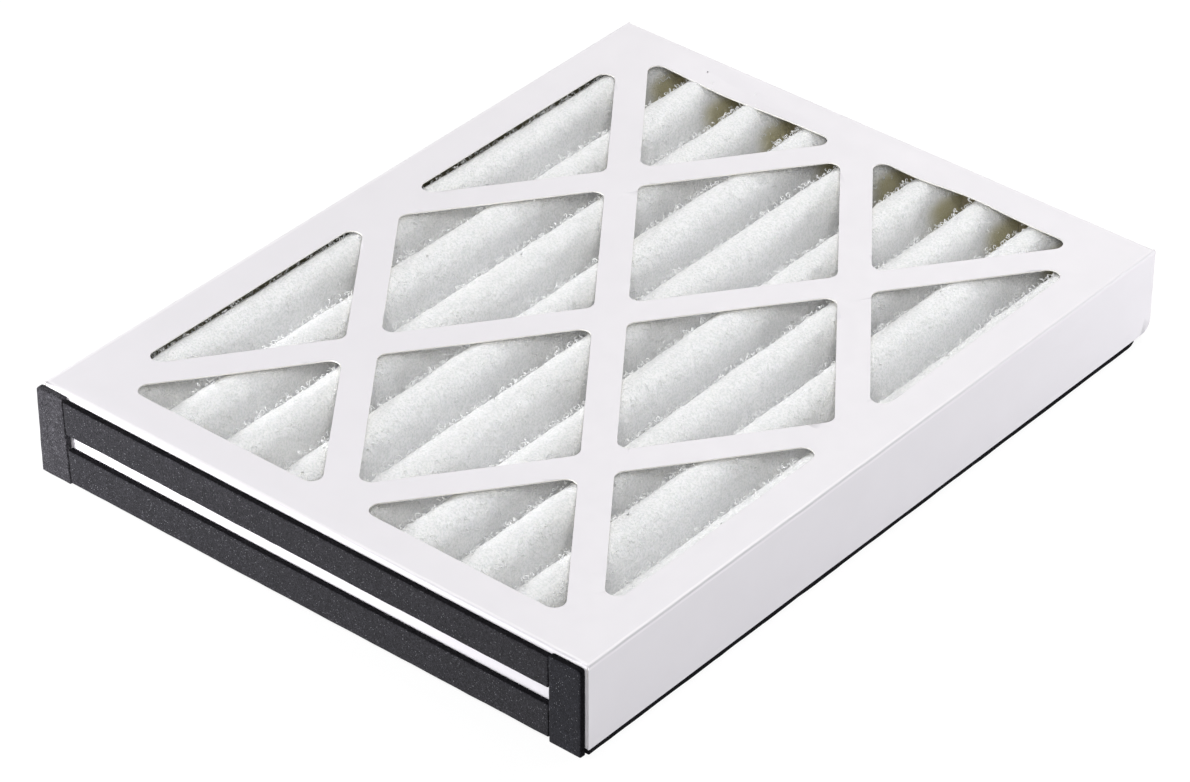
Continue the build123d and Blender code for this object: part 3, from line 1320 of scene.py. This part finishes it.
@dataclass
class SupportGrid:
    """Welded wires folded with the pleats on the outlet side."""

    pleats: Pleats
    wire: float = 1.0
    pitch: float = 25.0
    folded_wires: int = 18
    clearance: float = 0.3
    weld: float = 0.3
    thickness: float = 8.0
    reach: float = 225.0
    sides: int = 8

    @property
    def offset(self) -> float:
        """How far the folded wires' middle is from the media's."""
        return -self.thickness / 2 - self.clearance - self.wire / 2

    def build(self) -> bpy.types.Object:
        """Makes every wire.

        Returns:
            The piece.
        """
        bm = bmesh.new()
        self.folded(bm)
        first = -(self.folded_wires - 1) / 2 * self.pitch
        whole = bm.verts[:] + bm.edges[:] + bm.faces[:]
        bmesh.ops.translate(bm, verts=bm.verts[:], vec=mm(first, 0, 0))
        for number in range(1, self.folded_wires):
            copy = bmesh.ops.duplicate(bm, geom=whole)["geom"]
            moved = [item for item in copy if isinstance(item, bmesh.types.BMVert)]
            bmesh.ops.translate(bm, verts=moved, vec=mm(number * self.pitch, 0, 0))
        pleats, sunk = self.pleats, self.wire - self.weld
        top, foot = pleats.crest_z + pleats.radius, pleats.valley_z - pleats.radius
        bends = [(pleats.crest(number), top) for number in range(pleats.count)]
        bends += [(pleats.valley(number), foot) for number in range(pleats.count + 1)]
        for y, level in bends:
            self.straight(bm, y, level + self.offset - sunk)
        for vertex in bm.verts:
            vertex.co = pleats.swayed(vertex.co)
        finishes, nodes = (GalvanisedWire("galvanised_wire"),), ("pleat_support_grid",)
        return finished_piece(bm, "support_wires", finishes, nodes, 50)

    def folded(self, bm: bmesh.types.BMesh) -> None:
        """Bends one wire along the pleats.

        Args:
            bm: The mesh to build in.
        """
        start = self.pleats.start(0, self.offset)
        turn = Matrix.Translation(start) @ Matrix.Rotation(math.pi / 2, 4, "X")
        ring = bmesh.ops.create_circle(
            bm, segments=self.sides, radius=self.wire / 2 * MM, cap_ends=False, matrix=turn
        )["verts"]
        pen = Pen(bm, ring + bm.edges[:])
        self.pleats.draw(pen, 8, 1)
        for end in (ring, [item for item in pen.tip if isinstance(item, bmesh.types.BMVert)]):
            bmesh.ops.contextual_create(bm, geom=end)
        bmesh.ops.recalc_face_normals(bm, faces=bm.faces[:])

    def straight(self, bm: bmesh.types.BMesh, y: float, z: float) -> None:
        """Lays one straight wire in a bend.

        Args:
            bm: The mesh to build in.
            y: Where across the filter.
            z: How high.
        """
        turn = Matrix.Translation(mm(0, y, z)) @ Matrix.Rotation(math.pi / 2, 4, "Y")
        radius = self.wire / 2 * MM
        made = bmesh.ops.create_cone(
            bm, cap_ends=True, segments=self.sides, radius1=radius, radius2=radius,
            depth=2 * self.reach * MM, matrix=turn,
        )["verts"]
        edges = {edge for vertex in made for edge in vertex.link_edges}
        long = [edge for edge in edges if edge.calc_length() > self.reach * MM]
        bmesh.ops.subdivide_edges(bm, edges=long, cuts=11, use_grid_fill=True)


# Foam tape


class Face(Enum):
    """The face of the card that a tape is stuck to."""

    END_WALL = "end wall"
    OUTLET = "outlet"


# A darker copy of the foam for the tapes' narrow side faces: painted shade for the shade that falls
# on them.
SHADED_SIDES_FOAM = FoamTape(
    "foam_sides_painted_shade", (0.002, 0.002, 0.0025), (0.016, 0.015, 0.018), (0.03, 0.03, 0.03), 0.03
)


@dataclass
class Tape:
    """One length of foam tape, in millimetres.

    A rounded corner is its number and its radius. Each wave of the free side is its height, its
    length and what it adds to the seed.
    """

    piece: str
    node: str
    face: Face
    corners: tuple[tuple[float, float], ...]
    seed: float
    skin: FoamTape = FoamTape("foam_tape")
    # The side faces' finish, darker by default: painted shade.
    cut: FoamTape = SHADED_SIDES_FOAM
    thickness: float = 4.0
    wall_x: float = -230.0
    rounded: tuple[int, float] | None = None
    soft_edge: float = 0.8
    waves: tuple[tuple[float, float, float], ...] = ((0.22, 14, 0.0), (0.1, 4, 3.0))
    sunk: float = 0.12

    def point(self, corner: tuple[float, float]) -> Vector:
        """Gives a corner of the stuck side, in metres."""
        if self.face is Face.END_WALL:
            return mm(self.wall_x, *corner)
        return mm(*corner, self.thickness)

    @property
    def outward(self) -> Vector:
        """The way from the stuck side to the free one."""
        return Vector((-1, 0, 0)) if self.face is Face.END_WALL else Vector((0, 0, -1))

    def build(self) -> bpy.types.Object:
        """Makes the tape: cut square, a little uneven, its free edges soft.

        Returns:
            The piece.
        """
        bm = bmesh.new()
        loop = [bm.verts.new(self.point(corner)) for corner in self.corners]
        base = bm.faces.new(loop)
        grown = bmesh.ops.extrude_face_region(bm, geom=[base])["geom"]
        free = [item for item in grown if isinstance(item, bmesh.types.BMVert)]
        bmesh.ops.translate(bm, verts=free, vec=self.outward * self.thickness * MM)
        bmesh.ops.recalc_face_normals(bm, faces=bm.faces[:])
        if self.rounded:
            corner = self.point(self.corners[self.rounded[0]])
            upright = [
                edge for edge in bm.edges
                if all((v.co - corner).cross(self.outward).length < SAME_PLACE for v in edge.verts)
            ]
            self.bevel(bm, upright, self.rounded[1], 8)
        soft = [edge for edge in bm.edges if edge.calc_face_angle(0) > 0.6]
        self.bevel(bm, soft, self.soft_edge, 3)
        for axis in range(3):
            spots = [v.co[axis] / MM for v in bm.verts]
            low, size = min(spots), max(spots) - min(spots)
            cell = 6.0 if size > 60 else 4.0 if size > 10 else 1.9
            count = int(size // cell)
            bisect(bm, axis, (low + (n + 0.5) * size / count for n in range(count)))
        bm.normal_update()
        # Faces that turn sideways take the darker side finish, which is painted shade.
        for face in bm.faces:
            face.material_index = int(abs(face.normal.dot(self.outward)) < 0.5)
        for vertex in bm.verts:
            vertex.co = self.settled(vertex.co, vertex.normal)
        piece = finished_piece(bm, self.piece, (self.skin, self.cut), (self.node,), 40)
        return piece

    def bevel(self, bm: bmesh.types.BMesh, edges: list, size: float, segments: int) -> None:
        """Rounds edges.

        Args:
            bm: The mesh.
            edges: Which edges.
            size: The width of the rounding, in millimetres.
            segments: How many faces it has.
        """
        bmesh.ops.bevel(
            bm, geom=edges, offset=size * MM, offset_type="OFFSET", affect="EDGES",
            segments=segments, profile=0.5, material=-1, clamp_overlap=True,
        )

    def settled(self, point: Vector, normal: Vector) -> Vector:
        """Makes the cut tape a little uneven away from its stuck side.

        Args:
            point: A point of the even tape.
            normal: The way out of it.

        Returns:
            The point on the tape.
        """
        stuck = self.point(self.corners[0])
        free = min(1.0, max(0.0, (point - stuck).dot(self.outward) / (self.thickness * MM)))
        wave = sum(size * lumps(point, length, self.seed + n) for size, length, n in self.waves)
        return point + normal * min(0.0, wave - self.sunk) * free * MM


# The studio


@dataclass
class SoftLamp:
    """A square soft box that looks at the filter's middle."""

    name: str
    place: tuple[float, float, float]
    size: float
    power: float
    colour: Colour = (1.0, 1.0, 1.0)

    def build(self) -> None:
        """Hangs the lamp."""
        data = bpy.data.lights.new(self.name, "AREA")
        data.shape, data.size = "SQUARE", self.size
        data.energy, data.color = self.power, self.colour
        lamp = bpy.data.objects.new(self.name, data)
        lamp.location = self.place
        lamp.rotation_euler = (-Vector(self.place)).to_track_quat("-Z", "Y").to_euler()
        lamp.visible_camera = False
        bpy.context.scene.collection.objects.link(lamp)


@dataclass
class Studio:
    """White floor and world, soft lamps and the camera."""

    camera_place: tuple[float, float, float] = (-1.6209, -1.3571, 1.4965)
    camera_heading: tuple[float, float, float] = (0.62465, 0.52698, -0.57628)
    lens: float = 150.6
    fill: float = 0.24
    fill_colour: Colour = (0.96, 0.98, 1.0)
    floor_reach: float = 6.0
    lamps: tuple[SoftLamp, ...] = (
        SoftLamp("key_lamp", (1.35, 0.75, 1.5), 0.9, 21.5, (1.0, 0.99, 0.97)),
        SoftLamp("side_lamp", (0.72, -0.62, 0.2), 0.4, 3.2, (0.99, 0.99, 1.0)),
        SoftLamp("front_lamp", (-0.68, 0.48, 0.1), 0.2, 7.6, (0.99, 0.99, 1.0)),
        SoftLamp("eye_lamp", (-1.35, -1.2, 1.7), 1.0, 32.0),
    )

    def build(self) -> None:
        """Sets the stage."""
        self.world()
        self.floor()
        self.camera()
        for lamp in self.lamps:
            lamp.build()
        bpy.context.scene.view_settings.view_transform = "Standard"

    def world(self) -> None:
        """Makes a world that looks white and lights softly."""
        world = bpy.data.worlds.new("white_studio")
        world.use_nodes = True
        world.node_tree.nodes.clear()
        bench = NodeBench(world.node_tree)
        path = bench.node("ShaderNodeLightPath").outputs
        seen = bench.math("MAXIMUM", path["Is Camera Ray"], path["Is Glossy Ray"])
        seen = bench.math("MAXIMUM", seen, path["Is Transmission Ray"])
        dim, bright = (
            bench.node("ShaderNodeBackground", {"Color": colour, "Strength": strength}).outputs[0]
            for colour, strength in (((*self.fill_colour, 1.0), self.fill), ((1.0,) * 4, 1.0))
        )
        both = bench.node("ShaderNodeMixShader", {0: seen, 1: dim, 2: bright}).outputs[0]
        bench.node("ShaderNodeOutputWorld", {"Surface": both})
        bpy.context.scene.world = world

    def floor(self) -> None:
        """Lays the floor."""
        bm = bmesh.new()
        bmesh.ops.create_grid(bm, x_segments=4, y_segments=4, size=self.floor_reach)
        mesh = bpy.data.meshes.new("studio_floor")
        bm.to_mesh(mesh)
        bm.free()
        mesh.materials.append(StudioFloor("studio_floor").material())
        floor = bpy.data.objects.new("studio_floor", mesh)
        bpy.context.scene.collection.objects.link(floor)

    def camera(self) -> None:
        """Stands the camera."""
        data = bpy.data.cameras.new("camera")
        data.sensor_width, data.lens = 36.0, self.lens
        camera = bpy.data.objects.new("camera", data)
        camera.location = self.camera_place
        camera.rotation_euler = Vector(self.camera_heading).to_track_quat("-Z", "Y").to_euler()
        bpy.context.scene.collection.objects.link(camera)
        bpy.context.scene.camera = camera


# The filter


@dataclass
class PanelFilter:
    """Every piece of the filter."""

    inlet: CardTray
    outlet: CardTray
    wadding: PleatedWadding
    grid: SupportGrid
    tapes: tuple[Tape, ...]

    def build(self, frame: dict) -> None:
        """Builds the filter from the outlet side up.

        Args:
            frame: The loaded frame.
        """
        self.outlet.build(frame)
        self.grid.build()
        web = self.wadding.web()
        self.wadding.fuzz(web)
        self.inlet.build(frame)
        for tape in self.tapes:
            tape.build()


def oblong(x: float, y: float, far_x: float, far_y: float) -> tuple[tuple[float, float], ...]:
    """Gives the corners of an oblong, in order.

    Args:
        x: One corner's first coordinate.
        y: Its second.
        far_x: The opposite corner's first coordinate.
        far_y: Its second.

    Returns:
        The four corners.
    """
    return (x, y), (far_x, y), (far_x, far_y), (x, far_y)


def make_tapes() -> tuple[Tape, ...]:
    """Lists the eight lengths of tape.

    Returns:
        The tapes, four on the end wall and four below.
    """
    wall, below = Face.END_WALL, Face.OUTLET
    side, end, width = 179.5, 229.5, 20.0
    inside, inner_end = side - width, end - width
    # The left end piece, sides too, takes a lighter copy of the foam and the right end piece a
    # darker one: painted light and painted shade, as the lamps light the end wall more on its left.
    lit_foam = FoamTape("foam_painted_light", (0.008, 0.0075, 0.0095), (0.074, 0.071, 0.081))
    shaded_foam = FoamTape("foam_painted_shade", (0.0025, 0.0025, 0.004), (0.026, 0.026, 0.034))
    upper = ((163.4, 50.5), (-158.0, 50.9), (-158.0, 32.2), (162.6, 30.7))
    lower = ((162.0, 21.6), (-158.0, 22.3), (-158.0, 2.4), (161.2, 1.2))
    left = ((182.0, 52.2), (163.7, 52.0), (161.5, 0.0), (182.0, 0.0))
    right = ((-158.1, 52.0), (-178.0, 52.2), (-178.0, 0.0), (-158.1, 0.0))
    return (
        Tape("foam_front_upper", "front_gasket_upper", wall, upper, 1.0),
        Tape("foam_front_lower", "front_gasket_lower", wall, lower, 2.0),
        Tape("foam_front_left", "front_gasket_left", wall, left, 3.0, lit_foam, lit_foam, rounded=(0, 2.0)),
        Tape("foam_front_right", "front_gasket_right", wall, right, 4.0, shaded_foam, rounded=(1, 2.0)),
        Tape("foam_below_left", "outlet_gasket_left", below,
             oblong(-end, side, end, inside), 5.0, rounded=(1, 18.0)),
        Tape("foam_below_right", "outlet_gasket_right", below,
             oblong(-end, -inside, end, -side), 6.0, rounded=(2, 18.0)),
        Tape("foam_below_front", "outlet_gasket_front", below,
             oblong(-end, inside, -inner_end, -inside), 7.0),
        Tape("foam_below_back", "outlet_gasket_back", below,
             oblong(inner_end, inside, end, -inside), 8.0),
    )


def make_filter() -> PanelFilter:
    """Sets out the filter's sub-assemblies.

    Returns:
        The filter.
    """
    pleats = Pleats()
    dents = (
        Dent(209, 92, 55, 34, drop=2.4),
        Dent(209, -41, 30, 18, drop=1.0),
        Dent(207, -78, 16, 22, slide_x=1.9),
    )
    return PanelFilter(
        inlet=CardTray("card_inlet_tray", "inlet_frame", 230, 180, 54.0, True, dents),
        outlet=CardTray("card_outlet_tray", "outlet_frame", 229, 179, 4.0, False),
        wadding=PleatedWadding(pleats),
        grid=SupportGrid(pleats),
        tapes=make_tapes(),
    )


def main() -> None:
    """Builds the filter in its studio."""
    logging.basicConfig(level=logging.INFO, format="%(message)s")
    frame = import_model()
    make_filter().build(frame)
    Studio().build()


if __name__ == "__main__":
    main()
